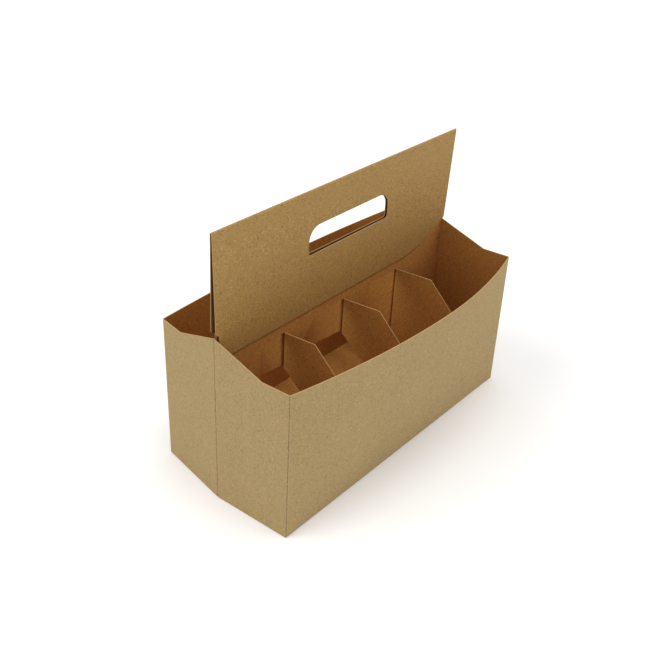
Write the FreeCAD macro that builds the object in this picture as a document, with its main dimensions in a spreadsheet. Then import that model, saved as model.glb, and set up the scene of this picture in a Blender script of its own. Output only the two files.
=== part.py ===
import FreeCAD, Part
import math
import os
import Sketcher

# A folded kraft board carrier for bottles: two rows of cells on either side of a tall
# middle riser with a hand hole. X runs along the rows, -Y is the front and the floor is
# at z = 0. The carrier stands a little racked, as it does when it has only just been
# opened out: both long walls are shifted along X against the riser, so the crease in
# one end stands out and the crease in the other end is drawn in.

doc = FreeCAD.newDocument("bottle_carrier")
sheet = doc.addObject("Spreadsheet::Sheet", "Sizes")

SIZES = [
    ("board", 0.6, "thickness of the kraft board"),
    ("glue_gap", 0.1, "glue line between two boards"),
    ("cell_pitch", 65.0, "distance between dividers along a row"),
    ("cells_per_row", 4, "cells on each side of the riser"),
    ("half_depth", 61.5, "riser to the outside of a long wall, at the floor"),
    ("wall_height", 121.5, "height of the long walls and of the corners"),
    ("crest_height", 137.5, "height of the crease in each end"),
    ("shoulder", 39.5, "from the crease to the foot of the sloping end edge"),
    ("rack_shift", 7.0, "how far both long walls are shifted along the riser"),
    ("right_lean", 4.8, "how far the right end leans in at the crest"),
    ("front_bow", 15.7, "outward bow of the front wall's top edge"),
    ("front_peak", 24.0, "where the front wall bows out most"),
    ("rear_bow", 5.5, "outward bow of the rear wall's top edge"),
    ("rear_peak", 7.0, "where the rear wall bows out most"),
    ("floor_gap", 0.6, "floor panel's clearance from the two ends"),
    ("glue_flap", 24.0, "rear flap that the floor panel is glued on"),
    ("flap_ramp", 8.0, "run over which the floor panel climbs onto that flap"),
    ("riser_spread", 2.6, "space between the two riser plies at the left end"),
    ("riser_gap", 0.2, "the same at the right end"),
    ("riser_top", 141.0, "top edge of the riser plies, inside the handle"),
    ("crease_gap", 0.4, "riser ply's clearance in the crease of each end"),
    ("strap_top", 112.6, "top edge of the divider straps"),
    ("strap_low", 82.0, "lower end of a strap's fold on the riser"),
    ("last_strap_low", 45.0, "the same for the last, taller strap"),
    ("last_strap_under", 16.0, "fall of the last strap's lower edge, degrees"),
    ("first_level", 26.0, "level run of the first strap's top edge"),
    ("strap_level", 31.0, "the same on the other straps"),
    ("strap_shift", 10.2, "how far a strap's outer end is shifted along the riser"),
    ("strap_fall", 49.0, "fall of its outer top edge, degrees"),
    ("strap_under", 44.5, "fall of its lower edge, degrees"),
    ("tab_width", 12.0, "glue tab of a strap along the long wall"),
    ("inner_flap", 42.0, "left end's glue flaps between the two riser plies"),
    ("right_flap", 5.0, "glue flap of a riser ply along the right end"),
    ("flap_low", 84.0, "lower edge of the flaps between the plies"),
    ("flap_high", 128.0, "upper edge of both glue flaps"),
    ("flap_cut", 18.0, "slope of the cut corners of tabs and glue flaps, degrees"),
    ("foot_gap", 0.4, "riser foot's clearance above the floor panel"),
    ("handle_height", 213.9, "fold along the top of the handle"),
    ("cover_low", 121.0, "straight lower edge of the handle cover"),
    ("sweep_run", 60.0, "from the right end to where that edge turns up"),
    ("sweep_radius", 88.0, "radius of the upward turn"),
    ("sweep_angle", 27.0, "slope after the turn, degrees"),
    ("right_taper", 4.0, "how far the handle narrows to the right crest"),
    ("notch_depth", 3.5, "relief cut beside the left crest"),
    ("notch_gap", 1.8, "height of the relief cut above the left crest"),
    ("hole_width", 88.0, "hand hole, along the handle"),
    ("hole_height", 21.2, "hand hole, upright"),
    ("hole_low", 165.0, "lower edge of the hand hole"),
    ("hole_shift", 2.2, "middle of the hand hole along the handle"),
    ("hole_top_radius", 11.0, "upper corners of the hand hole"),
    ("hole_low_radius", 2.0, "lower corners of the hand hole"),
]
for row, (alias, value, meaning) in enumerate(SIZES, start=1):
    sheet.set("A%d" % row, alias)
    sheet.set("B%d" % row, str(value))
    sheet.set("C%d" % row, meaning)
    sheet.setAlias("B%d" % row, alias)
doc.recompute()


def size(expression):
    """Write a formula over the sheet's words as an expression of the document."""
    words = {alias for alias, value, meaning in SIZES}
    out = ""
    word = ""
    for letter in expression + " ":
        if letter.isalnum() or letter == "_":
            word += letter
            continue
        out += "Sizes." + word if word in words else word
        out += letter
        word = ""
    return out.strip()


def value_of(expression):
    """The number that a formula over the sheet's words has now."""
    return float(sheet.evalExpression(size(expression)))


# Formulas that several pieces share
LENGTH = "(cell_pitch * cells_per_row)"
HALF_LENGTH = "(cell_pitch * cells_per_row / 2)"
TILT = "(rack_shift / half_depth)"
STRETCH = "sqrt(1 + (rack_shift / half_depth) ^ 2)"
MARGIN = "10"  # how far a solid is drawn past the edge that it is trimmed to
LOFT_TOP = "(crest_height + %s)" % MARGIN
LEAN = "(right_lean * %s / crest_height)" % LOFT_TOP
RISE = "(%s / wall_height)" % LOFT_TOP
REACH = "(2 * half_depth)"
CELLS = int(value_of("cells_per_row"))

FLAT = FreeCAD.Rotation()
FACING_FRONT = FreeCAD.Rotation(FreeCAD.Vector(1, 0, 0), 90)
FACING_END = FreeCAD.Rotation(FreeCAD.Vector(1, 1, 1), 120)


def arc_between(start, end, centre_x):
    """Arc through two points whose centre lies on the line x = centre_x."""
    (x0, y0), (x1, y1) = start, end
    middle_x = (x0 + x1) / 2
    middle_y = (y0 + y1) / 2
    centre_y = middle_y - (centre_x - middle_x) * (x1 - x0) / (y1 - y0)
    radius = math.hypot(x0 - centre_x, y0 - centre_y)
    first = math.atan2(y0 - centre_y, x0 - centre_x)
    last = math.atan2(y1 - centre_y, x1 - centre_x)
    forward = (last - first) % (2 * math.pi) < math.pi
    if not forward:
        first, last = last, first
    circle = Part.Circle(FreeCAD.Vector(centre_x, centre_y, 0), FreeCAD.Vector(0, 0, 1), radius)
    return Part.ArcOfCircle(circle, first, last), forward


def draw(sketch, corners, arcs=None):
    """Closed outline through corners given as pairs of formulas. An edge named in arcs
    is round, and arcs gives the formula of its centre along the sketch's first axis."""
    arcs = arcs or {}
    places = [(value_of(u), value_of(v)) for u, v in corners]
    first_edge = sketch.GeometryCount
    count = len(corners)
    ends = []
    for index in range(count):
        start = places[index]
        end = places[(index + 1) % count]
        if index in arcs:
            curve, forward = arc_between(start, end, value_of(arcs[index]))
        else:
            curve = Part.LineSegment(FreeCAD.Vector(*start, 0), FreeCAD.Vector(*end, 0))
            forward = True
        sketch.addGeometry(curve, False)
        ends.append((1, 2) if forward else (2, 1))
    for index in range(count):
        here = first_edge + index
        after = first_edge + (index + 1) % count
        joint = Sketcher.Constraint("Coincident", here, ends[index][1],
                                    after, ends[(index + 1) % count][0])
        sketch.addConstraint(joint)
    drives = []
    for index, (u, v) in enumerate(corners):
        drives.append(("DistanceX", first_edge + index, ends[index][0], u))
        drives.append(("DistanceY", first_edge + index, ends[index][0], v))
    for index, centre in arcs.items():
        drives.append(("DistanceX", first_edge + index, 3, centre))
    for kind, edge, point, formula in drives:
        drive = Sketcher.Constraint(kind, -1, 1, edge, point, value_of(formula))
        number = sketch.addConstraint(drive)
        sketch.setExpression("Constraints[%d]" % number, size(formula))
    return sketch


def new_sketch(name, rotation, height=None):
    """Empty sketch facing up, front or end, at a height given by a formula."""
    sketch = doc.addObject("Sketcher::SketchObject", name)
    sketch.Placement = FreeCAD.Placement(FreeCAD.Vector(), rotation)
    if height is not None:
        sketch.setExpression("Placement.Base.z", size(height))
    return sketch


def prism(name, sketch, forward, backward="0"):
    """Solid made by moving a sketch along its own normal, both ways from its plane."""
    solid = doc.addObject("Part::Extrusion", name)
    solid.Base = sketch
    solid.DirMode = "Normal"
    solid.Solid = True
    solid.setExpression("LengthFwd", size(forward))
    solid.setExpression("LengthRev", size(backward))
    return solid


def cut(name, base, tool):
    result = doc.addObject("Part::Cut", name)
    result.Base = base
    result.Tool = tool
    return result


def common(name, base, tool):
    result = doc.addObject("Part::Common", name)
    result.Base = base
    result.Tool = tool
    return result


def fuse(name, pieces):
    result = doc.addObject("Part::MultiFuse", name)
    result.Shapes = pieces
    return result


def wall_section(name, height, inset, lean, front_bow, rear_bow):
    """The carrier's outline in plan at one height, drawn in by inset all round: two
    creased ends and two long walls, each bowed from its corners to its peak."""
    skin = "(%s) * %s" % (inset, STRETCH)
    depth = "(half_depth - (%s))" % inset
    left = "-%s + %s" % (HALF_LENGTH, skin)
    right = "%s - %s - %s" % (HALF_LENGTH, skin, lean)
    left_corner = "%s + %s * %s" % (left, depth, TILT)
    right_corner = "%s + %s * %s" % (right, depth, TILT)
    corners = [
        (left, "0"),
        (left_corner, "-" + depth),
        ("front_peak", "-%s - %s" % (depth, front_bow)),
        (right_corner, "-" + depth),
        (right, "0"),
        (right_corner, depth),
        ("rear_peak", "%s + %s" % (depth, rear_bow)),
        (left_corner, depth),
    ]
    bowed = {1: "front_peak", 2: "front_peak", 5: "rear_peak", 6: "rear_peak"}
    section = new_sketch(name, FLAT, height)
    return draw(section, corners, bowed if front_bow != "0" else None)


def wall_block(name, inset):
    """Solid inside the walls' outline: straight at the floor, bowed further up."""
    foot = wall_section(name + "_foot", "0", inset, "0", "0", "0")
    head = wall_section(name + "_head", LOFT_TOP, inset, LEAN,
                        "front_bow * " + RISE, "rear_bow * " + RISE)
    block = doc.addObject("Part::Loft", name)
    block.Sections = [foot, head]
    block.Solid = True
    block.Ruled = True
    return block


# Outer wrap: long walls, creased ends and the floor panel, one folded board
outside = wall_block("outside", "0")
inside = wall_block("inside", "board")
crest = new_sketch("crest_outline", FACING_END)
draw(crest, [
    ("0", "crest_height"),
    ("shoulder", "wall_height"),
    (REACH, "wall_height"),
    (REACH, "2 * crest_height"),
    ("-" + REACH, "2 * crest_height"),
    ("-" + REACH, "wall_height"),
    ("-shoulder", "wall_height"),
])
crest_cut = prism("crest_cut", crest, LENGTH, LENGTH)
walls = cut("walls", cut("wall_ring", outside, inside), crest_cut)

# The floor panel is folded in from the front wall and glued on a flap that is folded in
# from the rear wall, so it climbs by one board just before the flap.
floor_outline = new_sketch("floor_outline", FACING_END)
draw(floor_outline, [
    ("-half_depth", "0"),
    ("half_depth - glue_flap - flap_ramp", "0"),
    ("half_depth - glue_flap", "board"),
    ("half_depth - glue_flap", "0"),
    ("half_depth", "0"),
    ("half_depth", "2 * board"),
    ("half_depth - glue_flap", "2 * board"),
    ("half_depth - glue_flap - flap_ramp", "board"),
    ("-half_depth", "board"),
])
floor_panel = prism("floor_panel", floor_outline,
                    HALF_LENGTH + " - board * %s - floor_gap" % STRETCH,
                    HALF_LENGTH + " - board * %s - half_depth * %s - floor_gap" % (STRETCH, TILT))

# The left end is two halves. Each turns in at the crease and runs on between the riser
# plies as a glue flap, and the two flaps lie back to back.
inner_view = new_sketch("inner_view", FACING_FRONT)
draw(inner_view, [
    ("-%s + board / 2" % HALF_LENGTH, "flap_low"),
    ("-%s + board + inner_flap" % HALF_LENGTH, "flap_low"),
    ("-%s + board + inner_flap" % HALF_LENGTH, "flap_high"),
    ("-%s + board / 2" % HALF_LENGTH, "flap_high"),
])
inner_flaps = prism("inner_flaps", inner_view, "board", "board")
outer_wrap = fuse("outer_wrap", [walls, floor_panel, inner_flaps])

# Partitions: a riser ply with straps folded out of it to the long wall on its side
glue_outside = wall_block("glue_outside", "board + glue_gap")
glue_inside = wall_block("glue_inside", "2 * board + glue_gap")
glue_layer = cut("glue_layer", glue_outside, glue_inside)

ROOTS = ["(cell_pitch * (%d - cells_per_row / 2))" % number for number in range(1, CELLS)]
LEVELS = ["first_level"] + ["strap_level"] * (CELLS - 2)
STRAP_TILT = "(strap_shift / half_depth)"
STRAP_STRETCH = "sqrt(1 + (strap_shift / half_depth) ^ 2)"
FALL = "tan(strap_fall)"
TOOTH = "((strap_top - strap_low) / tan(strap_fall))"
PLY_LEFT = "(-%s + board * %s + crease_gap)" % (HALF_LENGTH, STRETCH)
PLY_RIGHT = "(%s - board * %s - crease_gap)" % (HALF_LENGTH, STRETCH)
FOOT = "(2 * board + foot_gap)"


def ply_outline():
    """Front view of a riser ply: a window is left beside each strap that was folded out,
    between the windows hangs a tooth, and past the last strap the ply reaches the floor."""
    corners = [(PLY_LEFT, "riser_top"), (PLY_LEFT, "strap_low")]
    for root, level in zip(ROOTS, LEVELS):
        corners.append(("%s - %s - %s" % (root, level, TOOTH), "strap_low"))
        corners.append(("%s - %s" % (root, level), "strap_top"))
        corners.append((root, "strap_top"))
        if root != ROOTS[-1]:
            corners.append((root, "strap_low"))
    corners.append((ROOTS[-1], FOOT))
    corners.append((PLY_RIGHT + " - right_lean * %s / crest_height" % FOOT, FOOT))
    corners.append((PLY_RIGHT + " - right_lean * riser_top / crest_height", "riser_top"))
    return draw(new_sketch("ply_outline", FACING_FRONT), corners)


ply_face = ply_outline()


def gap_at(x):
    """Distance of a riser ply's inner face from the middle plane, at x along the riser.
    The two plies stand further apart towards the left end."""
    return "(riser_gap / 2 + (riser_spread - riser_gap) / 2 * (1 / 2 - %s / %s))" % (x, LENGTH)


def riser_ply(name, side):
    """One riser ply, which stands away from the other one."""
    mark = "-" if side < 0 else ""
    band = new_sketch(name + "_band", FLAT, FOOT)
    draw(band, [
        ("-" + HALF_LENGTH, "%s(riser_spread / 2)" % mark),
        (HALF_LENGTH, "%s(riser_gap / 2)" % mark),
        (HALF_LENGTH, "%s(riser_gap / 2 + board)" % mark),
        ("-" + HALF_LENGTH, "%s(riser_spread / 2 + board)" % mark),
    ])
    band_block = prism(name + "_block", band, "riser_top - " + FOOT)
    face_block = prism(name + "_face_block", ply_face, REACH, REACH)
    return common(name, band_block, face_block)


def strap(name, side, root, level, low, under):
    """One divider strap, square in its own plane: it starts at the fold beside its window
    and leans along the riser on its way out to the glue line on the long wall."""
    mark = "-" if side < 0 else ""
    start = gap_at(root)
    reach = "(half_depth + front_bow + rear_bow)"
    run = "(%s - %s)" % (reach, start)
    plan = new_sketch(name + "_plan", FLAT)
    draw(plan, [
        (root, mark + start),
        ("%s + board * %s" % (root, STRAP_STRETCH), mark + start),
        ("%s + board * %s + %s * %s" % (root, STRAP_STRETCH, run, STRAP_TILT), mark + reach),
        ("%s + %s * %s" % (root, run, STRAP_TILT), mark + reach),
    ])
    plan_block = prism(name + "_plan_block", plan, "strap_top")
    knee = "(%s + %s / %s)" % (start, level, STRAP_STRETCH)
    view = new_sketch(name + "_view", FACING_END)
    draw(view, [
        (mark + start, low),
        (mark + start, "strap_top"),
        (mark + knee, "strap_top"),
        (mark + reach, "strap_top - (%s - %s) * %s" % (reach, knee, FALL)),
        (mark + reach, "%s - (%s - %s) * tan(%s)" % (low, reach, start, under)),
    ])
    view_block = prism(name + "_view_block", view, LENGTH, LENGTH)
    return common(name + "_trimmed", common(name, plan_block, view_block), glue_outside)


def strap_tab(name, side, root, level, low, under):
    """Glue tab of a strap: bent along the long wall, as high as the strap's end."""
    start = gap_at(root)
    knee = "(%s + %s / %s)" % (start, level, STRAP_STRETCH)
    upper = "(strap_top - (half_depth - %s) * %s)" % (knee, FALL)
    lower = "(%s - (half_depth - %s) * tan(%s))" % (low, start, under)
    fold = "(%s + (half_depth - %s) * %s)" % (root, start, STRAP_TILT)
    tip = "%s + tab_width" % fold
    view = new_sketch(name + "_view", FACING_FRONT)
    draw(view, [
        (fold, lower),
        (tip, "%s + tab_width * tan(flap_cut)" % lower),
        (tip, "%s - tab_width * tan(flap_cut)" % upper),
        (fold, upper),
    ])
    ways = ((REACH, "0") if side < 0 else ("0", REACH))
    return common(name, prism(name + "_block", view, *ways), glue_layer)


def end_flap(name, side, gap, width, low, ways):
    """Glue flap of a riser ply: bent along one creased end."""
    mark = "-" if side < 0 else ""
    near = "%s(%s / 2)" % (mark, gap)
    far = "%s(%s / 2 + %s)" % (mark, gap, width)
    view = new_sketch(name + "_view", FACING_END)
    draw(view, [
        (near, low),
        (near, "flap_high"),
        (far, "flap_high - %s * tan(flap_cut)" % width),
        (far, "%s + %s * tan(flap_cut)" % (low, width)),
    ])
    return common(name, prism(name + "_block", view, *ways), glue_layer)


def partition(name, side):
    """Riser ply, straps, their tabs and the two end flaps: one folded board."""
    pieces = [riser_ply(name + "_ply", side)]
    for number, (root, level) in enumerate(zip(ROOTS, LEVELS), start=1):
        last = root == ROOTS[-1]
        low = "last_strap_low" if last else "strap_low"
        under = "last_strap_under" if last else "strap_under"
        pieces.append(strap("%s_strap_%d" % (name, number), side, root, level, low, under))
        pieces.append(strap_tab("%s_tab_%d" % (name, number), side, root, level, low, under))
    pieces.append(end_flap(name + "_right_flap", side, "riser_gap", "right_flap", FOOT,
                           (LENGTH, "0")))
    return fuse(name, pieces)


front_partition = partition("front_partition", -1)
rear_partition = partition("rear_partition", 1)

# Handle cover: a sheet folded over the top, its two leaves straddling the riser plies.
# The leaves touch the plies at the plies' top edge and open out on the way down.
NECK = "(handle_height - board)"
COVER_FOOT = "(cover_low - %s)" % MARGIN
SPREAD = "((%s - %s) / (%s - riser_top))" % (NECK, COVER_FOOT, NECK)


def leaf_near(gap):
    """Distance of a leaf's inner face from the middle plane at its foot, where the plies
    below it stand this far apart."""
    return "((%s / 2 + board + glue_gap) * %s)" % (gap, SPREAD)


def cover_leaf(name, side):
    """One leaf of the handle cover, flat from the fold down to its lower edge."""
    mark = "-" if side < 0 else ""
    sections = []
    for word, height, left, right in (("foot", COVER_FOOT, leaf_near("riser_spread"),
                                       leaf_near("riser_gap")),
                                      ("head", NECK, "0", "0")):
        section = new_sketch("%s_%s" % (name, word), FLAT, height)
        sections.append(draw(section, [
            ("-" + HALF_LENGTH, "%s(%s)" % (mark, left)),
            (HALF_LENGTH, "%s(%s)" % (mark, right)),
            (HALF_LENGTH, "%s(%s + board)" % (mark, right)),
            ("-" + HALF_LENGTH, "%s(%s + board)" % (mark, left)),
        ]))
    leaf = doc.addObject("Part::Loft", name)
    leaf.Sections = sections
    leaf.Solid = True
    leaf.Ruled = True
    return leaf


def cover_outline():
    """Front view of the handle cover with its hand hole. The lower edge is straight and
    turns up at the right end, and a relief cut clears the crest of the left end."""
    turn = "(%s - sweep_run)" % HALF_LENGTH
    slope_x = "(%s + sweep_radius * sin(sweep_angle))" % turn
    slope_z = "(cover_low + sweep_radius * (1 - cos(sweep_angle)))"
    right = "(%s - right_taper)" % HALF_LENGTH
    relief = "(-%s + notch_depth)" % HALF_LENGTH
    relief_top = "(crest_height + notch_gap)"
    outline = new_sketch("cover_outline", FACING_FRONT)
    draw(outline, [
        ("-" + HALF_LENGTH, "handle_height + board"),
        ("-" + HALF_LENGTH, relief_top + " + notch_depth"),
        (relief, relief_top),
        (relief, "cover_low"),
        (turn, "cover_low"),
        (slope_x, slope_z),
        (right, "%s + (%s - %s) * tan(sweep_angle)" % (slope_z, right, slope_x)),
        (HALF_LENGTH, "handle_height + board"),
    ], {1: relief, 4: turn})
    left = "(hole_shift - hole_width / 2)"
    far = "(hole_shift + hole_width / 2)"
    top = "(hole_low + hole_height)"
    small = "hole_low_radius"
    large = "hole_top_radius"
    draw(outline, [
        ("%s + %s" % (left, small), "hole_low"),
        ("%s - %s" % (far, small), "hole_low"),
        (far, "hole_low + " + small),
        (far, "%s - %s" % (top, large)),
        ("%s - %s" % (far, large), top),
        ("%s + %s" % (left, large), top),
        (left, "%s - %s" % (top, large)),
        (left, "hole_low + " + small),
    ], {
        1: "%s - %s" % (far, small),
        3: "%s - %s" % (far, large),
        5: "%s + %s" % (left, large),
        7: "%s + %s" % (left, small),
    })
    return outline


fold_view = new_sketch("fold_view", FACING_END)
draw(fold_view, [("-board", NECK), ("board", NECK), ("0", "handle_height")], {1: "0", 2: "0"})
fold = prism("cover_fold", fold_view, HALF_LENGTH, HALF_LENGTH)
sheet_over = fuse("cover_sheet", [cover_leaf("front_leaf", -1), cover_leaf("rear_leaf", 1), fold])
cover_face = prism("cover_face", cover_outline(), REACH, REACH)
handle_cover = common("handle_cover", sheet_over, cover_face)

NODES = [outer_wrap, front_partition, rear_partition, handle_cover]
doc.recompute()
for item in doc.Objects:
    if "Invalid" in item.State or "Error" in item.State:
        raise RuntimeError("%s did not build: %s" % (item.Label, item.State))

os.makedirs("parts", exist_ok=True)
for node in NODES:
    shape = node.Shape
    if shape.isNull() or not shape.isValid():
        raise RuntimeError("%s has no valid shape" % node.Label)
    shape.exportStep("parts/%s.step" % node.Label)
    box = shape.optimalBoundingBox()
    print(node.Label, "solids", len(shape.Solids), "volume %.1f" % shape.Volume,
          "x %.1f..%.1f" % (box.XMin, box.XMax), "y %.1f..%.1f" % (box.YMin, box.YMax),
          "z %.1f..%.1f" % (box.ZMin, box.ZMax))
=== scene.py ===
import math
import bmesh
import bpy
import numpy as np
from mathutils import Matrix, Vector


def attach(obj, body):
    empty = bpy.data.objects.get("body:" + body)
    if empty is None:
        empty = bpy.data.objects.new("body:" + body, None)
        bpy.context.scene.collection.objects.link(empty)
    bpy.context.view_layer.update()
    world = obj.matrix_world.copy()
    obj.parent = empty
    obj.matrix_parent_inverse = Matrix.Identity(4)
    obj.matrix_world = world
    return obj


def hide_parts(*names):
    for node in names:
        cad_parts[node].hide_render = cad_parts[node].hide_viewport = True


# A folded kraft bottle carrier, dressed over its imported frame. All sizes below are in
# millimetres and degrees; a mesh is turned into metres when it is made.

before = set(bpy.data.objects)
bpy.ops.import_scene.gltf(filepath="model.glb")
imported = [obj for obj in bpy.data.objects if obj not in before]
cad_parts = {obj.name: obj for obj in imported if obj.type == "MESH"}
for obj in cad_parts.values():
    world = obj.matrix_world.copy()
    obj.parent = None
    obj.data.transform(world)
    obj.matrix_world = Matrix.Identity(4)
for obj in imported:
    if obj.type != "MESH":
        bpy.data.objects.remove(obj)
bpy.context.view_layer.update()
print("frame loaded:", ", ".join(sorted(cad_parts)))

# The camera comes first, so that everything can be judged through it.

photoView = {
    "place": (-427.48, -338.39, 443.08),
    "azimuth": -45.04,
    "elevation": 29.4,
    "roll": 0.3,
    "focalPixels": 842.22,
    "middlePixel": (259.23, 268.47),  # where the optical axis meets the frame
    "framePixels": 669,
    "sensor": 36.0,
}


# Unit vector towards an azimuth and elevation in radians; azimuth 0 is the front.
def heading(turn, rise):
    return Vector((math.sin(turn) * math.cos(rise), -math.cos(turn) * math.cos(rise), math.sin(rise)))



def makeCamera(view):
    turn, rise, roll = (math.radians(view[key]) for key in ("azimuth", "elevation", "roll"))
    back = heading(turn, rise)
    side = (-back).cross(Vector((0, 0, 1))).normalized()
    above = side.cross(-back)
    right = side * math.cos(roll) + above * math.sin(roll)
    up = above * math.cos(roll) - side * math.sin(roll)
    lens = bpy.data.cameras.new("photoCamera")
    lens.sensor_width = view["sensor"]
    lens.lens = view["focalPixels"] * view["sensor"] / view["framePixels"]
    half = view["framePixels"] / 2
    lens.shift_x = (half - view["middlePixel"][0]) / view["framePixels"]
    lens.shift_y = (view["middlePixel"][1] - half) / view["framePixels"]
    camera = bpy.data.objects.new("photoCamera", lens)
    bpy.context.scene.collection.objects.link(camera)
    place = Vector(view["place"]) * 0.001
    camera.matrix_world = Matrix((
        (right.x, up.x, back.x, place.x),
        (right.y, up.y, back.y, place.y),
        (right.z, up.z, back.z, place.z),
        (0, 0, 0, 1)))
    bpy.context.scene.camera = camera


makeCamera(photoView)
print("camera placed")

# Shader maths is written as plain expressions.


class Wire:
    # One output socket of a node tree; sums and products of wires add Math nodes.
    def __init__(self, tree, socket):
        self.tree = tree
        self.socket = socket

    def join(self, operation, *others):
        node = self.tree.nodes.new("ShaderNodeMath")
        node.operation = operation
        for place, value in enumerate((self,) + others):
            plug(self.tree, value, node.inputs[place])
        return Wire(self.tree, node.outputs[0])

    def __add__(self, other):
        return self.join("ADD", other)

    def __mul__(self, other):
        return self.join("MULTIPLY", other)

    def __sub__(self, other):
        return self.join("SUBTRACT", other)

    def __rsub__(self, other):
        return (self * -1.0).join("ADD", other)

    def __abs__(self):
        return self.join("ABSOLUTE")

    __radd__ = __add__

    # 0 below low, 1 above high and a smooth step between
    def step(self, low, high):
        node = self.tree.nodes.new("ShaderNodeMapRange")
        node.interpolation_type = "SMOOTHSTEP"
        node.inputs["From Min"].default_value = low
        node.inputs["From Max"].default_value = high
        plug(self.tree, self, node.inputs["Value"])
        return Wire(self.tree, node.outputs["Result"])


def plug(tree, value, socket):
    if isinstance(value, Wire):
        tree.links.new(value.socket, socket)
    else:
        socket.default_value = value


class Finish:
    # A material under construction, with one way to add any node to it.
    def __init__(self, name):
        self.material = bpy.data.materials.new(name)
        self.material.use_nodes = True
        self.tree = self.material.node_tree
        self.shader = self.tree.nodes["Principled BSDF"]

    def node(self, kind, settings=None, output=0, **values):
        made = self.tree.nodes.new(kind)
        for key, value in (settings or {}).items():
            setattr(made, key, value)
        for key, value in values.items():
            plug(self.tree, value, made.inputs[key])
        return Wire(self.tree, made.outputs[output])

    def blendColours(self, amount, first, second, way="MIX"):
        made = self.tree.nodes.new("ShaderNodeMix")
        made.data_type = "RGBA"
        made.blend_type = way
        plug(self.tree, amount, made.inputs[0])
        plug(self.tree, first, made.inputs[6])
        plug(self.tree, second, made.inputs[7])
        return Wire(self.tree, made.outputs[2])

    def noise(self, place, size, detail, stretch=(1, 1, 1)):
        # cloudy pattern whose features are about size millimetres across
        scaled = self.node("ShaderNodeVectorMath", {"operation": "MULTIPLY"})
        made = scaled.socket.node
        plug(self.tree, place, made.inputs[0])
        made.inputs[1].default_value = [1000.0 / (size * part) for part in stretch]
        return self.node("ShaderNodeTexNoise", Vector=scaled, Scale=1.0, Detail=detail, Roughness=0.6)


kraftTones = {
    "outside": {"colour": (0.420, 0.297, 0.134), "fleck": 0.66, "rough": 0.84},
    # painted bounce light: the inside is a deeper orange copy of the outside board, standing in for
    # light bounced inside the box and its shade
    "inside": {"colour": (0.490, 0.222, 0.051), "fleck": 0.95, "rough": 0.88},
    # painted shade: a darker copy of the inside tone for the partitions' faces, standing in for the
    # shade inside the cells
    "ply": {"colour": (0.420, 0.182, 0.039), "fleck": 0.95, "rough": 0.88},
    # painted light and shade: the handle's outer tone is a darker, more saturated copy of the board low
    # down and a lighter copy at the fold, standing in for how light falls on it
    "handle": {
        "colour": (0.335, 0.180, 0.045),
        "upper": (0.410, 0.252, 0.084),  # the lighter tone at the fold, painted light standing in for the light the handle's top gets
        "fleck": 0.90,
        "rough": 0.84,
    },
    # painted shade: a very dark copy of the board for the cover leaves' inner faces, standing in for the
    # shade between them
    "handleInsideShade": {"colour": (0.160, 0.070, 0.022), "fleck": 0.60, "rough": 0.90},
    "cutEdge": {"colour": (0.560, 0.350, 0.150), "fleck": 0.30, "rough": 0.92},
    # painted shade: a darker copy of the cut edge for the handle cover, standing in for the shade on its
    # hole's edges
    "handleEdgeShaded": {"colour": (0.440, 0.280, 0.125), "fleck": 0.30, "rough": 0.92},
}

kraftPattern = {
    "grainSize": 0.9,
    "mottleSize": 4.0,
    "cloudSize": 38.0,
    "fibreSize": 0.55,
    "fibreLength": 5.0,  # fibres are this many times longer than wide
    "mottle": 0.16,
    "clouds": 0.10,
    "darkStep": (0.62, 0.74),
    "lightStep": (0.62, 0.73),
    "darkFibre": 0.45,
    "lightFibre": 0.40,
    "shadeLineStep": (0.10, 0.55),  # distance from the middle of the painted shade line, at a fold or under the cover's edge
    "highlightAt": 1.0,
    "highlightStep": (0.2, 0.9),  # distance from the middle of the painted highlight beside a fold
    # painted shade line at a fold's crease and under the handle cover's edge, and painted highlight
    # beside a fold
    "paintedShadeLine": 0.34,
    "paintedHighlight": 0.07,
    "paintedLightStep": (0.120, 0.200),  # metres above the floor over which the handle's painted light blends in
    "roughGrain": 0.12,
    "bumpGrain": 0.6,
    "bumpFibre": 0.25,
    "bumpPressed": 1.5,
    "bumpStrength": 0.35,
    "bumpDepth": 0.00012,  # metres
    "specular": 0.28,
}


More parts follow.
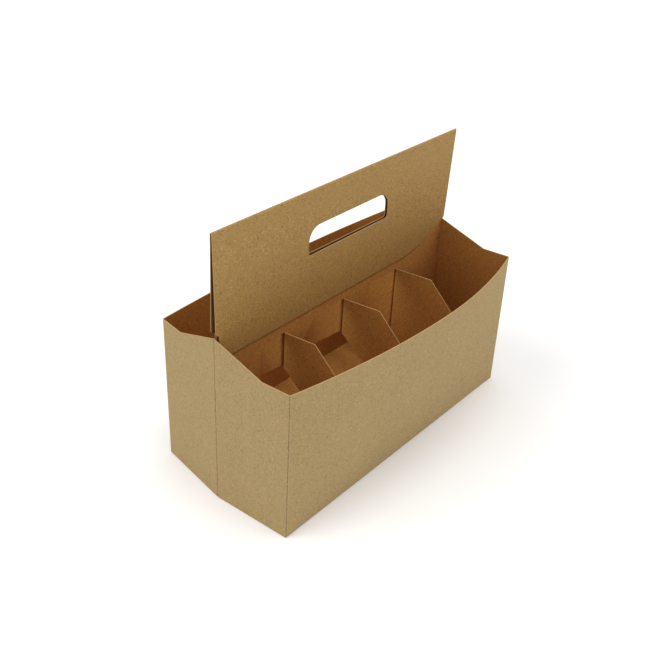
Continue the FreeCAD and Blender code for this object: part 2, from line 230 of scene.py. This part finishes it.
def kraftFinish(name, tone, folds=False):
    # Colour = tone x (1 + grain + mottle + clouds - dark fibres + light fibres - painted shade
    # line + painted highlight). A fibre is a smooth step of a noise that is stretched along
    # one axis, and the painted shade line and painted highlight are smooth steps of the distance.
    pattern = kraftPattern
    finish = Finish(name)
    place = finish.node("ShaderNodeTexCoord", output="Object")
    grain = finish.noise(place, pattern["grainSize"], 3.0)
    mottle = finish.noise(place, pattern["mottleSize"], 2.0)
    clouds = finish.noise(place, pattern["cloudSize"], 2.0)
    width, length = pattern["fibreSize"], pattern["fibreLength"]
    alongX = finish.noise(place, width, 1.0, (length, 1.0, 1.0))
    alongY = finish.noise(place, width, 1.0, (1.0, length, 1.0))
    alongZ = finish.noise(place, width, 1.0, (1.0, 1.0, length))
    level = 1.0 + (grain - 0.5) * tone["fleck"] + (mottle - 0.5) * pattern["mottle"]
    level = level + (clouds - 0.5) * pattern["clouds"]
    low, high = pattern["darkStep"]
    dark = (alongX.step(low, high) + alongY.step(low, high) + alongZ.step(low, high)) * tone["fleck"]
    low, high = pattern["lightStep"]
    light = ((1.0 - alongX).step(low, high) + (1.0 - alongZ).step(low, high)) * tone["fleck"]
    level = level - dark * pattern["darkFibre"] + light * pattern["lightFibre"]
    height = grain * pattern["bumpGrain"] + alongX * pattern["bumpFibre"] + alongZ * pattern["bumpFibre"]
    if folds:
        away = finish.node("ShaderNodeAttribute", {"attribute_name": "foldDistance"}, output="Fac")
        # painted shade: a dark line at a fold's crease (on the partitions, under the cover's edge)
        # stands in for shade, and a painted highlight 1 mm to one side stands in for light on the fold's
        # rounded side
        paintedShadeLine = 1.0 - abs(away).step(*pattern["shadeLineStep"])
        paintedHighlight = 1.0 - abs(away - pattern["highlightAt"]).step(*pattern["highlightStep"])
        level = level - paintedShadeLine * pattern["paintedShadeLine"] + paintedHighlight * pattern["paintedHighlight"]
        height = height - paintedShadeLine * pattern["bumpPressed"]
    grey = finish.node("ShaderNodeCombineColor", Red=level, Green=level, Blue=level)
    base = tone["colour"] + (1.0,)
    # painted light: the handle's tone blends upwards from the darker copy to the lighter one
    if "upper" in tone:
        above = finish.node("ShaderNodeSeparateXYZ", output="Z", Vector=place)
        base = finish.blendColours(above.step(*pattern["paintedLightStep"]), base, tone["upper"] + (1.0,))
    colour = finish.blendColours(1.0, base, grey, "MULTIPLY")
    plug(finish.tree, colour, finish.shader.inputs["Base Color"])
    rough = tone["rough"] + (grain - 0.5) * pattern["roughGrain"]
    plug(finish.tree, rough, finish.shader.inputs["Roughness"])
    bump = finish.node("ShaderNodeBump", Height=height, Strength=pattern["bumpStrength"],
                       Distance=pattern["bumpDepth"])
    plug(finish.tree, bump, finish.shader.inputs["Normal"])
    finish.shader.inputs["Specular IOR Level"].default_value = pattern["specular"]
    return finish.material


kraftOutside = kraftFinish("kraftOutside", kraftTones["outside"], folds=True)
kraftInsideBounceTone = kraftFinish("kraftInsideBounceTone", kraftTones["inside"])
kraftPlyShaded = kraftFinish("kraftPlyShaded", kraftTones["ply"], folds=True)
kraftHandleInsideShade = kraftFinish("kraftHandleInsideShade", kraftTones["handleInsideShade"])
kraftHandleEdgeShaded = kraftFinish("kraftHandleEdgeShaded", kraftTones["handleEdgeShaded"])
kraftHandlePaintedLight = kraftFinish("kraftHandlePaintedLight", kraftTones["handle"])
kraftCut = kraftFinish("kraftCut", kraftTones["cutEdge"])
print("kraft finishes made")

boardSizes = {
    "thickness": 0.6,
    "glue": 0.1,
    "foldReach": 1.0,  # how far a fold's rounding runs to each side of it
    "edgeRound": 0.08,
    "farAway": 60.0,  # fold distance of places that lie near no fold
}


def gridQuads(rows, columns):
    number = np.arange(rows * columns).reshape(rows, columns)
    around = [number[:-1, :-1], number[:-1, 1:], number[1:, 1:], number[1:, :-1]]
    return np.stack(around, -1).reshape(-1, 4)


# Joins grids of points into one sheet and gives it the board's thickness. Each grid is
# rows x columns x 3, seen from outside with columns to the right and rows upwards.
def makeSheet(name, grids, finishes, node, distances=None):
    points = np.concatenate([grid.reshape(-1, 3) for grid in grids])
    starts = np.cumsum([0] + [grid.shape[0] * grid.shape[1] for grid in grids[:-1]])
    faces = np.concatenate([gridQuads(*grid.shape[:2]) + start for grid, start in zip(grids, starts)])
    mesh = bpy.data.meshes.new(name)
    mesh.from_pydata((points * 0.001).tolist(), [], faces.tolist())
    if distances is not None:
        layer = mesh.attributes.new("foldDistance", "FLOAT", "POINT")
        values = np.concatenate([part.ravel() for part in distances])
        layer.data.foreach_set("value", values.astype(np.float32))
    work = bmesh.new()
    work.from_mesh(mesh)
    bmesh.ops.remove_doubles(work, verts=work.verts, dist=2e-6)
    bmesh.ops.dissolve_degenerate(work, edges=work.edges, dist=1e-7)
    work.to_mesh(mesh)
    work.free()
    for finish in finishes:
        mesh.materials.append(finish)
    piece = bpy.data.objects.new(name, mesh)
    bpy.context.scene.collection.objects.link(piece)
    thicken = piece.modifiers.new("board", "SOLIDIFY")
    thicken.thickness = boardSizes["thickness"] * 0.001
    thicken.offset = -1.0
    thicken.use_even_offset = True
    thicken.material_offset = 1
    thicken.material_offset_rim = 2
    soften = piece.modifiers.new("cutEdges", "BEVEL")
    soften.width = boardSizes["edgeRound"] * 0.001
    soften.segments = 2
    soften.limit_method = "ANGLE"
    soften.angle_limit = math.radians(55)
    weigh = piece.modifiers.new("flatFaces", "WEIGHTED_NORMAL")
    weigh.weight = 100
    mesh.shade_smooth()
    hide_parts(node)
    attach(piece, "root")
    print(name, "has", len(mesh.polygons), "faces before its thickness")


# Quadratic curve from first to last that heads for corner: (1-w)^2 first + 2w(1-w)
# corner + w^2 last, for every w in share. The points' last axis holds x, y, z.
def roundCorner(first, corner, last, share):
    w = share[:, None]
    first, corner, last = (place[..., None, :] for place in (first, corner, last))
    return (1 - w) ** 2 * first + 2 * w * (1 - w) * corner + w ** 2 * last


wrapSizes = {
    "halfLength": 129.99,
    "halfDepth": 61.5,
    "wallHeight": 121.5,
    "crestHeight": 137.5,
    "shoulder": 39.5,
    "rackShift": 7.0,
    "rightLean": 4.8,
    "frontBow": 15.7,
    "frontPeak": 24.0,
    "rearBow": 5.5,
    "rearPeak": 7.0,
    "floorLeft": -121.4,
    "floorRight": 128.4,
    "floorRadius": 1.0,
    "rampStart": 29.5,
    "flapEdge": 37.5,
    "panelEdge": 60.2,
    "rows": 18,
    "flange": 3.0,  # how far each half of the left end turns in at the crease
    "flangeFall": 2.6,  # slope of the flange's upper edge
    "innerFlap": 42.6,  # the same where it runs on as a glue flap between the plies
    "innerLow": 84.0,
    "innerHigh": 128.0,
    "seam": 0.06,
    "footLift": 0.03,  # lowest edge above the floor
    "nearFold": (1.6, 2.4, 3.6, 6.0),  # columns of points beside a fold
    "columns": (10.0, 9.0, 6.0),  # first column, last one short of the far fold, step
    "floorMargin": 0.15,
    "flapRows": (80.0, 128.1),  # rows of the left end's edge that carry the glue flap
    "panelLift": 0.02,  # room between the floor panel and the flap under it
    "panelLevel": (21.5, -55.0),
    "flapStart": 37.7,
    "flapLevel": (42.5, 56.0),
}
tilt = wrapSizes["rackShift"] / wrapSizes["halfDepth"]
stretch = math.hypot(1.0, tilt)


def leanAt(z):
    return wrapSizes["rightLean"] * z / wrapSizes["crestHeight"]


# Corners of the racked outline at height z, drawn in by inset all round.
def planCorners(z, inset):
    depth = wrapSizes["halfDepth"] - inset
    left = -wrapSizes["halfLength"] + inset * stretch
    right = wrapSizes["halfLength"] - inset * stretch - leanAt(z)
    return left, right, left + depth * tilt, right + depth * tilt, depth


# How far a long wall stands from the riser at x: depth + bow x (1 - (run from the
# peak / run from the peak to the corner)^2), where the bow grows with the height.
def wallReach(x, z, inset, side):
    left, right, leftCorner, rightCorner, depth = planCorners(z, inset)
    word = "front" if side < 0 else "rear"
    peak = wrapSizes[word + "Peak"]
    corner = np.where(x < peak, leftCorner, rightCorner)
    bow = wrapSizes[word + "Bow"] * z / wrapSizes["wallHeight"]
    return depth + bow * (1 - ((x - peak) / (corner - peak)) ** 2)


# Point at share t along one of six wall panels, counted round from the left end's
# front half: straight between its corners, and bowed where it is a long wall.
def panelPoint(panel, t, z):
    left, right, leftCorner, rightCorner, depth = planCorners(z, 0.0)
    t, z = np.broadcast_arrays(t, z)
    if panel in (1, 4):
        first, last = (leftCorner, rightCorner) if panel == 1 else (rightCorner, leftCorner)
        x = first + t * (last - first)
        side = -1 if panel == 1 else 1
        return np.stack([x, side * wallReach(x, z, 0.0, side), z], -1)
    crease, corner = (left, leftCorner) if panel in (0, 5) else (right, rightCorner)
    side = -1 if panel in (0, 2) else 1
    out = t if panel in (0, 3) else 1 - t
    return np.stack([crease + out * (corner - crease), side * out * depth, z], -1)


def wrapGrids():
    size = wrapSizes
    reach = boardSizes["foldReach"]
    endLength = size["halfDepth"] * stretch
    longLength = 2 * size["halfLength"]
    near = np.array((reach,) + size["nearFold"])
    start, short, step = size["columns"]
    share = np.linspace(0, 1, 9)[1:-1]
    leftCorner = -size["halfLength"] + size["rackShift"]
    left, right, margin = size["floorLeft"], size["floorRight"], size["floorMargin"]
    floorEnds = np.array([left - margin, left, right, right + margin])
    blocks = []
    for panel in range(6):
        length = longLength if panel in (1, 4) else endLength
        run = np.concatenate([near, np.arange(start, length - short, step), length - near])
        if panel in (1, 4):
            marks = floorEnds - leftCorner
            run = np.concatenate([run, marks if panel == 1 else length - marks])
        else:
            mark = size["shoulder"] * stretch
            run = np.append(run, mark if panel in (0, 3) else length - mark)
        blocks.append((panel, np.unique(np.round(run, 4)), length))

    inner = np.array([size["innerLow"], size["innerHigh"]]) / size["crestHeight"]
    rise = np.unique(np.concatenate([np.linspace(0, 1, size["rows"]), inner]))[:, None]
    seam = seamBend(rise, -1)
    wall, away = [seam], [np.full(seam.shape[:2], boardSizes["farAway"])]
    floorGrids, floorAway = [], []
    for panel, run, length in blocks:
        t = run / length
        flat = panelPoint(panel, t, np.zeros_like(t))
        top = topEdge(flat[:, 1])
        foot = np.full_like(t, size["footLift"])
        if panel in (1, 4):
            inside = (flat[:, 0] > left - 0.01) & (flat[:, 0] < right + 0.01)
            foot = np.where(inside, size["floorRadius"] + size["footLift"], foot)
        z = foot + rise * (top - foot)
        grid = panelPoint(panel, t[None, :], z)
        wall.append(grid)
        gap = np.where(run < length / 2, run, run - length)
        away.append(np.broadcast_to(gap, z.shape))
        if panel in (1, 4):
            floorGrids.append(floorGrid(grid[0][inside], -1 if panel == 1 else 1))
            floorAway.append(np.full(floorGrids[-1].shape[:2], boardSizes["farAway"]))
        if panel == 5:
            break
        after = panel + 1
        nextLength = longLength if after in (1, 4) else endLength
        z = topEdge(panelPoint(panel, 1.0, 0.0)[1]) * rise
        ends = [panelPoint(panel, 1 - reach / length, z), panelPoint(panel, 1.0, z),
                panelPoint(after, reach / nextLength, z)]
        bend = roundCorner(*(end[:, 0] for end in ends), share)
        bend[..., 2] = size["footLift"] + rise * (topEdge(bend[-1, :, 1]) - size["footLift"])
        wall.append(bend)
        away.append(np.broadcast_to(-reach + 2 * reach * share, bend.shape[:2]))
    wall.append(seamBend(rise, 1))
    away.append(away[0])
    flaps = [innerFlapGrid(wall[0][:, 0], -1), innerFlapGrid(wall[-1][:, -1], 1)]
    flapAway = [np.full(flap.shape[:2], boardSizes["farAway"]) for flap in flaps]
    grids = [np.concatenate(wall, 1)] + flaps + floorGrids
    return grids, [np.concatenate(away, 1)] + flapAway + floorAway


# One half of the left end turning in at the crease, with one plan for every height:
# a short flange beside the middle plane, then a round corner onto the end's own panel.
def seamBend(rise, side):
    size = wrapSizes
    reach = boardSizes["foldReach"]
    crease = -size["halfLength"]
    beside = side * size["seam"] / 2
    share = reach / (size["halfDepth"] * stretch)
    onEnd = panelPoint(0, share, 0.0) if side < 0 else panelPoint(5, 1 - share, 0.0)
    first, corner = np.array([crease + reach, beside, 0.0]), np.array([crease, beside, 0.0])
    bend = roundCorner(first, corner, onEnd, np.linspace(0, 1, 10)[:-1])
    middle = (size["flange"] + reach) / 2
    flange = np.array([(crease + size["flange"], beside, 0.0), (crease + middle, beside, 0.0)])
    plan = np.concatenate([flange, bend])
    plan = plan if side < 0 else plan[::-1]
    x, y = plan[None, :, 0], plan[None, :, 1]
    top = topEdge(y) - size["flangeFall"] * (x - crease) * (np.abs(y) < size["seam"])
    height = size["footLift"] + rise * (top - size["footLift"])
    return np.stack(np.broadcast_arrays(x, y, height), -1)


# The flange running on as a glue flap, over the part of its height that has one.
def innerFlapGrid(edge, side):
    size = wrapSizes
    low, high = size["flapRows"]
    rows = edge[(edge[:, 2] > low) & (edge[:, 2] < high)]
    tip = size["innerFlap"] - size["halfLength"]
    x = np.linspace(tip, edge[0, 0], 5) if side < 0 else np.linspace(edge[0, 0], tip, 5)
    return np.stack(np.broadcast_arrays(x[None, :], rows[:, 1:2], rows[:, 2:]), -1)


# Height of the walls' upper edge at y: falls from the crest to the shoulder, then level.
def topEdge(y):
    drop = wrapSizes["crestHeight"] - wrapSizes["wallHeight"]
    return wrapSizes["crestHeight"] - drop * np.clip(np.abs(y) / wrapSizes["shoulder"], 0, 1)


# Floor panel or glue flap folded in from a long wall's foot: a quarter turn of the
# fold's radius, then level, and for the panel a ramp up onto the flap.
def floorGrid(footLine, side):
    size = wrapSizes
    radius = size["floorRadius"]
    angle = np.linspace(math.pi / 2, 0, 7)
    inward = radius * (1 - np.cos(angle))
    height = radius * (1 - np.sin(angle))
    if side < 0:
        lift = boardSizes["thickness"] + size["panelLift"]
        runs = [(size["panelEdge"], lift), (size["flapEdge"], lift), (size["rampStart"], 0.0)]
        level = np.linspace(*size["panelLevel"], 12)
    else:
        runs = [(size["flapStart"], 0.0)]
        level = np.linspace(*size["flapLevel"], 4)
    stops = np.array([place for place, lift in runs] + list(level))
    lifts = np.array([lift for place, lift in runs] + [0.0] * len(level))
    yLevel = np.broadcast_to(stops[:, None], (len(stops), len(footLine)))
    y = np.concatenate([yLevel, footLine[None, :, 1] - side * inward[:, None]])
    z = np.concatenate([lifts, height])[:, None] + size["footLift"]
    return np.stack(np.broadcast_arrays(footLine[None, :, 0], y, z), -1)


wrapGridList, wrapDistances = wrapGrids()
makeSheet("outerWrap", wrapGridList, [kraftOutside, kraftInsideBounceTone, kraftCut], "outer_wrap", wrapDistances)

coverSizes = {
    "height": 213.9,
    "low": 121.0,
    "sweepRun": 60.0,
    "sweepRadius": 88.0,
    "sweepAngle": 27.0,
    "rightTaper": 4.0,
    "notchDepth": 3.5,
    "notchGap": 1.8,
    "holeWidth": 88.0,
    "holeHeight": 21.2,
    "holeLow": 165.0,
    "holeShift": 2.2,
    "holeTopRadius": 11.0,
    "holeLowRadius": 2.0,
    "foldRoom": 0.35,  # half the space inside the fold
    "spacing": 8.0,  # between columns of points
    "rings": (0.0, 0.06, 0.16, 0.30, 0.46, 0.64, 0.82, 1.0),  # from the hole outwards
}

riserSizes = {
    "spread": 2.6,
    "gap": 0.2,
    "top": 141.0,
    "clear": 0.4,
    "leftClear": 2.6,  # further clearance at the left crease
    "foot": 1.6,
    "roots": (-65.0, 0.0, 65.0),
    "levels": (26.0, 31.0, 31.0),  # level run of each strap's top edge
    "strapShift": 10.2,
    "strapTop": 112.6,
    "strapLow": 82.0,
    "lastLow": 45.0,
    "lastUnder": 16.0,
    "fall": 49.0,
    "under": 44.5,
    "tabWidth": 12.0,
    "cornerCut": 18.0,
    "beforeRoot": 16.0,  # a column of points stands this far before each strap
    "edgeRows": (-4.6, -3.3, -2.6, -1.8, -1.0, 1.0),  # rows beside the cover's lower edge
    "shadowLineBelow": 1.8,  # middle of the painted shadow line under that edge
    "shadowLineScale": 0.4,
}
strapTilt = riserSizes["strapShift"] / wrapSizes["halfDepth"]
strapStretch = math.hypot(1.0, strapTilt)


# Distance of a riser ply's inner face from the middle plane: half the space between the
# plies, which narrows evenly from the left end to the right. The outer face is one board
# further out.
def plyReach(x):
    fromRight = 0.5 - x / (2 * wrapSizes["halfLength"])
    return (riserSizes["gap"] + (riserSizes["spread"] - riserSizes["gap"]) * fromRight) / 2


def plyPoint(x, z):
    x, z = np.broadcast_arrays(np.asarray(x, float), np.asarray(z, float))
    lastRoot = riserSizes["roots"][-1]
    share = np.clip((x - lastRoot) / (wrapSizes["halfLength"] - lastRoot), 0, 1)
    x = x - share * leanAt(z)
    return np.stack([x, -(plyReach(x) + boardSizes["thickness"]), z], -1)


# A strap and its glue tab, as a path in plan at every height: off the ply, out to the
# long wall and along it. Its height runs from the lower edge (share 0) to the upper (1).
def strapGrid(root, level, low, under, share, side):
    size = riserSizes
    board = boardSizes["thickness"]
    reach = boardSizes["foldReach"]
    fall = math.tan(math.radians(size["fall"]))
    slope = math.tan(math.radians(under))
    start = plyReach(root)
    knee = start + level / strapStretch
    foldOut = start + board
    foldX = root + board * strapStretch + board * strapTilt
    inset = 2 * board + boardSizes["glue"]

    def heights(out):
        lower = low - np.maximum(out - foldOut, 0) * slope
        upper = size["strapTop"] - np.maximum(out - knee, 0) * fall
        return lower + share * (upper - lower)

    def onStrap(out):
        return np.stack([foldX + (out - foldOut) * strapTilt, -out, heights(out)], -1)

    wallOut = np.full_like(share, wrapSizes["halfDepth"])
    for turn in range(12):  # settles where the strap meets the bowed wall
        place = onStrap(wallOut)
        wallOut = wallReach(place[:, 0], place[:, 2], inset, side)
    atWall = onStrap(wallOut)

    def onTab(run):
        x = atWall[:, 0] + run
        z = atWall[:, 2] + run * (1 - 2 * share) * math.tan(math.radians(size["cornerCut"]))
        return np.stack([x, -wallReach(x, z, inset, side), z], -1)

    turnShare = np.linspace(0, 1, 9)
    onPly = plyPoint(foldX + reach, low + share * (size["strapTop"] - low))
    corner = np.stack([np.full_like(share, foldX), np.full_like(share, -foldOut), onPly[:, 2]], -1)
    bend = roundCorner(onPly, corner, onStrap(np.full_like(share, foldOut + reach)), turnShare)
    lastOut = wallOut - reach
    firstLeg = np.linspace(foldOut + reach, knee, 6)[1:]
    columns = [onStrap(np.full_like(share, out)) for out in firstLeg]
    columns += [onStrap(knee + (lastOut - knee) * part) for part in np.linspace(0, 1, 7)[1:-1]]
    legs = np.stack(columns, 1)
    endBend = roundCorner(onStrap(lastOut), atWall, onTab(reach), turnShare)
    tab = np.stack([onTab(run) for run in np.linspace(reach, size["tabWidth"], 4)[1:]], 1)
    path = np.concatenate([bend, legs, endBend, tab], 1)
    return path[:, ::-1], foldX + reach


def partitionGrids(side):
    size = riserSizes
    roots = size["roots"]
    top, low, lastLow = size["strapTop"], size["strapLow"], size["lastLow"]
    toothRun = (top - low) / math.tan(math.radians(size["fall"]))
    plyEnd = wrapSizes["halfLength"] - boardSizes["thickness"] * stretch - size["clear"]
    share = np.array([0.0, 0.4, 0.7, 1.0])
    footRows = np.array([size["foot"], 12.0, 24.0, 35.0, lastLow])
    upperRows = np.array([lastLow, 58.0, 70.0, low, 92.0, 102.0, top])
    grids = []

    straps = []
    for root, level in zip(roots, size["levels"]):
        last = root == roots[-1]
        strapShare = (upperRows - lastLow) / (top - lastLow) if last else share
        lower, under = (lastLow, size["lastUnder"]) if last else (low, size["under"])
        grid, foldX = strapGrid(root, level, lower, under, strapShare, side)
        grids.append(grid)
        straps.append(foldX)

    # the ply's hanging parts, from their lower edge to the straps' upper edge
    sections = []
    begins = [-plyEnd + size["leftClear"]] + straps[:-1]
    for begin, root, level in zip(begins, roots, size["levels"]):
        slopeStart = root - level - toothRun
        slopeEnd = root - level
        flat = np.linspace(begin, slopeStart, 4)
        xs = np.concatenate([flat, np.linspace(slopeStart, slopeEnd, 6)[1:]])
        lower = low + np.clip(xs - slopeStart, 0, toothRun) / toothRun * (top - low)
        z = lower + share[:, None] * (top - lower)
        grids.append(plyPoint(xs, z))
        sections.append(xs)
    footX = np.linspace(straps[-1], plyEnd, 12)
    sections.append(footX)
    for rows in (footRows, upperRows):
        grids.append(plyPoint(footX[None, :], rows[:, None]))
    lastRoot = np.array([roots[-1], straps[-1]])
    grids.append(plyPoint(lastRoot[None, :], footRows[:, None]))

    # the band above them, with rows close together under the handle cover's edge, where the painted
    # shadow line lies
    beforeRoots = [np.array([root - size["beforeRoot"], root]) for root in roots]
    bandX = np.unique(np.round(np.concatenate(sections + beforeRoots), 6))
    edge = coverEdge(bandX)
    near = edge + np.array(size["edgeRows"])[:, None]
    foot, head = (np.full((1, len(bandX)), height) for height in (top, size["top"]))
    bandRows = np.concatenate([foot, (top + near[:1]) / 2, near, head])
    away = [np.full(grid.shape[:2], boardSizes["farAway"]) for grid in grids]
    grids.append(plyPoint(bandX[None, :], bandRows))
    # a wide painted shadow line under the cover's edge, standing in for the shade it casts; the painted
    # highlight lies on the positive side only, so there is none here
    # painted shadow: the line darkens the ply just below the handle cover's lower edge
    away.append(-size["shadowLineScale"] * np.abs(bandRows - edge + size["shadowLineBelow"]))
    if side > 0:  # the rear board is the front one seen in a mirror
        grids = [grid[::-1] * (1, -1, 1) for grid in grids]
        away = [part[::-1] for part in away]
    return grids, away


# Height of the handle cover's lower edge: level, then up a circle, then a straight slope.
def coverEdge(x):
    size = coverSizes
    angle = math.radians(size["sweepAngle"])
    run = np.maximum(x - (wrapSizes["halfLength"] - size["sweepRun"]), 0)
    onArc = size["sweepRadius"] * math.sin(angle)
    arc = size["sweepRadius"] - np.sqrt(size["sweepRadius"] ** 2 - np.minimum(run, onArc) ** 2)
    return size["low"] + arc + np.maximum(run - onArc, 0) * math.tan(angle)


insideOnly = [kraftPlyShaded, kraftInsideBounceTone, kraftCut]
frontGrids, frontDistances = partitionGrids(-1)
makeSheet("frontPartition", frontGrids, insideOnly, "front_partition", frontDistances)
rearGrids, rearDistances = partitionGrids(1)
makeSheet("rearPartition", rearGrids, insideOnly, "rear_partition", rearDistances)


def arcPoints(centre, radius, start, end, count):
    angle = np.radians(np.linspace(start, end, count))
    return np.stack([centre[0] + radius * np.cos(angle), centre[1] + radius * np.sin(angle)], -1)


# Where rays from a centre meet a closed outline: on the edge that spans the ray's angle,
# at the distance cross(first, edge) / cross(ray, edge).
def rayHits(outline, centre, angles):
    spokes = outline - centre
    turn = np.arctan2(spokes[:, 1], spokes[:, 0]) % (2 * math.pi)
    order = np.argsort(turn)
    turn, spokes = turn[order], spokes[order]
    turn = np.concatenate([turn, [turn[0] + 2 * math.pi]])
    spokes = np.concatenate([spokes, spokes[:1]])
    wrapped = np.where(angles < turn[0], angles + 2 * math.pi, angles)
    place = np.clip(np.searchsorted(turn, wrapped, side="right") - 1, 0, len(turn) - 2)
    first, edge = spokes[place], spokes[place + 1] - spokes[place]
    ray = np.stack([np.cos(angles), np.sin(angles)], -1)

    def cross(one, other):
        return one[:, 0] * other[:, 1] - one[:, 1] * other[:, 0]

    return centre + (cross(first, edge) / cross(ray, edge))[:, None] * ray


# Outer face of a cover leaf: its inner face leaves the middle plane evenly, from the
# fold's room to one glue line off the ply at the ply's upper edge, and on downwards.
def leafReach(x, z):
    board, room = boardSizes["thickness"], coverSizes["foldRoom"]
    neck = coverSizes["height"] - board - room
    down = (neck - z) / (neck - riserSizes["top"])
    return room + (plyReach(x) + board + boardSizes["glue"] - room) * down + board


def coverGrids():
    size = coverSizes
    radius = boardSizes["thickness"] + size["foldRoom"]
    half = wrapSizes["halfLength"]
    neck = size["height"] - radius
    turnX = half - size["sweepRun"]
    angle = math.radians(size["sweepAngle"])
    sweep = arcPoints((turnX, size["low"] + size["sweepRadius"]), size["sweepRadius"],
                      -90, -90 + size["sweepAngle"], 14)
    right = half - size["rightTaper"]
    rightLow = sweep[-1, 1] + (right - sweep[-1, 0]) * math.tan(angle)
    drop = size["height"] + boardSizes["thickness"]
    rightTop = half - size["rightTaper"] * (drop - neck) / (drop - rightLow)
    relief = -half + size["notchDepth"]
    reliefTop = wrapSizes["crestHeight"] + size["notchGap"]
    notch = arcPoints((relief, reliefTop + size["notchDepth"]), size["notchDepth"], 180, 270, 7)
    outline = np.concatenate([
        [(rightTop, neck), (-half, neck)], notch,
        [(relief, size["low"])], sweep, [(right, rightLow)]])

    left = size["holeShift"] - size["holeWidth"] / 2
    far = size["holeShift"] + size["holeWidth"] / 2
    low, top = size["holeLow"], size["holeLow"] + size["holeHeight"]
    large, small = size["holeTopRadius"], size["holeLowRadius"]
    hole = np.concatenate([
        arcPoints((far - small, low + small), small, -90, 0, 5),
        arcPoints((far - large, top - large), large, 0, 90, 12),
        arcPoints((left + large, top - large), large, 90, 180, 12),
        arcPoints((left + small, low + small), small, 180, 270, 5)])

    centre = np.array([size["holeShift"], (low + top) / 2])
    marks = np.concatenate([outline, hole]) - centre
    upperX = np.arange(-120.0, 121.0, size["spacing"])
    lowerX = np.arange(-120.0, 66.0, size["spacing"])
    topRun = np.stack([upperX, np.full_like(upperX, neck)], -1) - centre
    lowRun = np.stack([lowerX, np.full_like(lowerX, size["low"])], -1) - centre
    marks = np.concatenate([marks, topRun, lowRun])
    angles = np.unique(np.round(np.arctan2(marks[:, 1], marks[:, 0]) % (2 * math.pi), 9))
    angles = np.append(angles, angles[0] + 2 * math.pi)
    inner = rayHits(hole, centre, angles % (2 * math.pi))
    outer = rayHits(outline, centre, angles % (2 * math.pi))
    share = np.array(size["rings"])[::-1, None, None]
    flat = inner + share * (outer - inner)
    x, z = flat[..., 0], flat[..., 1]
    front = np.stack([x, -leafReach(x, z), z], -1)
    rear = (front * (1, -1, 1))[::-1]

    atTop = np.abs(outer[:, 1] - neck) < 1e-6
    topX = np.unique(np.round(outer[atTop, 0], 7))
    over = np.linspace(0, math.pi, 11)[:, None]
    across, above = -radius * np.cos(over), neck + radius * np.sin(over)
    fold = np.stack(np.broadcast_arrays(topX[None, :], across, above), -1)
    return [front, rear, fold]


makeSheet("handleCover", coverGrids(), [kraftHandlePaintedLight, kraftHandleInsideShade, kraftHandleEdgeShaded], "handle_cover")
print("board sheets made")

studio = {
    "floorColour": (0.85, 0.85, 0.845),
    "floorSize": 14.0,
    "floorHeight": -0.0002,  # just under the part
    "world": 0.55,
    "lamps": {  # name: (azimuth, elevation, light on a facing surface)
        "overhead": (0.0, 85.0, 0.37),
        "leftRear": (-120.0, 45.0, 0.29),
        "frontRight": (30.0, 15.0, 0.14),
    },
    "softness": 35.0,
}


# 1 where the stage is seen straight, in a mirror or through glass, and 0 for its light.
def seenRay(tree):
    ray = tree.nodes.new("ShaderNodeLightPath").outputs
    seen = Wire(tree, ray["Is Camera Ray"]).join("MAXIMUM", Wire(tree, ray["Is Glossy Ray"]))
    return seen.join("MAXIMUM", Wire(tree, ray["Is Transmission Ray"]))


def makeStage(plan):
    half, low = plan["floorSize"] / 2, plan["floorHeight"]
    mesh = bpy.data.meshes.new("floor")
    corners = [(-half, -half, low), (half, -half, low), (half, half, low), (-half, half, low)]
    mesh.from_pydata(corners, [], [(0, 1, 2, 3)])
    floor = bpy.data.objects.new("floor", mesh)
    bpy.context.scene.collection.objects.link(floor)
    finish = Finish("paleFloor")
    white = (1.0, 1.0, 1.0, 1.0)
    pale = finish.blendColours(seenRay(finish.tree), plan["floorColour"] + (1.0,), white)
    plug(finish.tree, pale, finish.shader.inputs["Base Color"])
    finish.shader.inputs["Roughness"].default_value = 1.0
    finish.shader.inputs["Specular IOR Level"].default_value = 0.0
    mesh.materials.append(finish.material)

    world = bpy.data.worlds.new("studio")
    bpy.context.scene.world = world
    world.use_nodes = True
    tree = world.node_tree
    background = tree.nodes["Background"]
    background.inputs["Color"].default_value = white
    glow = seenRay(tree) * (1.0 - plan["world"]) + plan["world"]
    plug(tree, glow, background.inputs["Strength"])
    for name, (turn, rise, strength) in plan["lamps"].items():
        lamp = bpy.data.lights.new(name, "SUN")
        lamp.energy = strength * math.pi
        lamp.angle = math.radians(plan["softness"])
        holder = bpy.data.objects.new(name, lamp)
        bpy.context.scene.collection.objects.link(holder)
        towards = heading(math.radians(turn), math.radians(rise))
        holder.rotation_euler = towards.to_track_quat("Z", "Y").to_euler()


makeStage(studio)
bpy.context.scene.view_settings.view_transform = "Standard"
print("stage and lamps set")
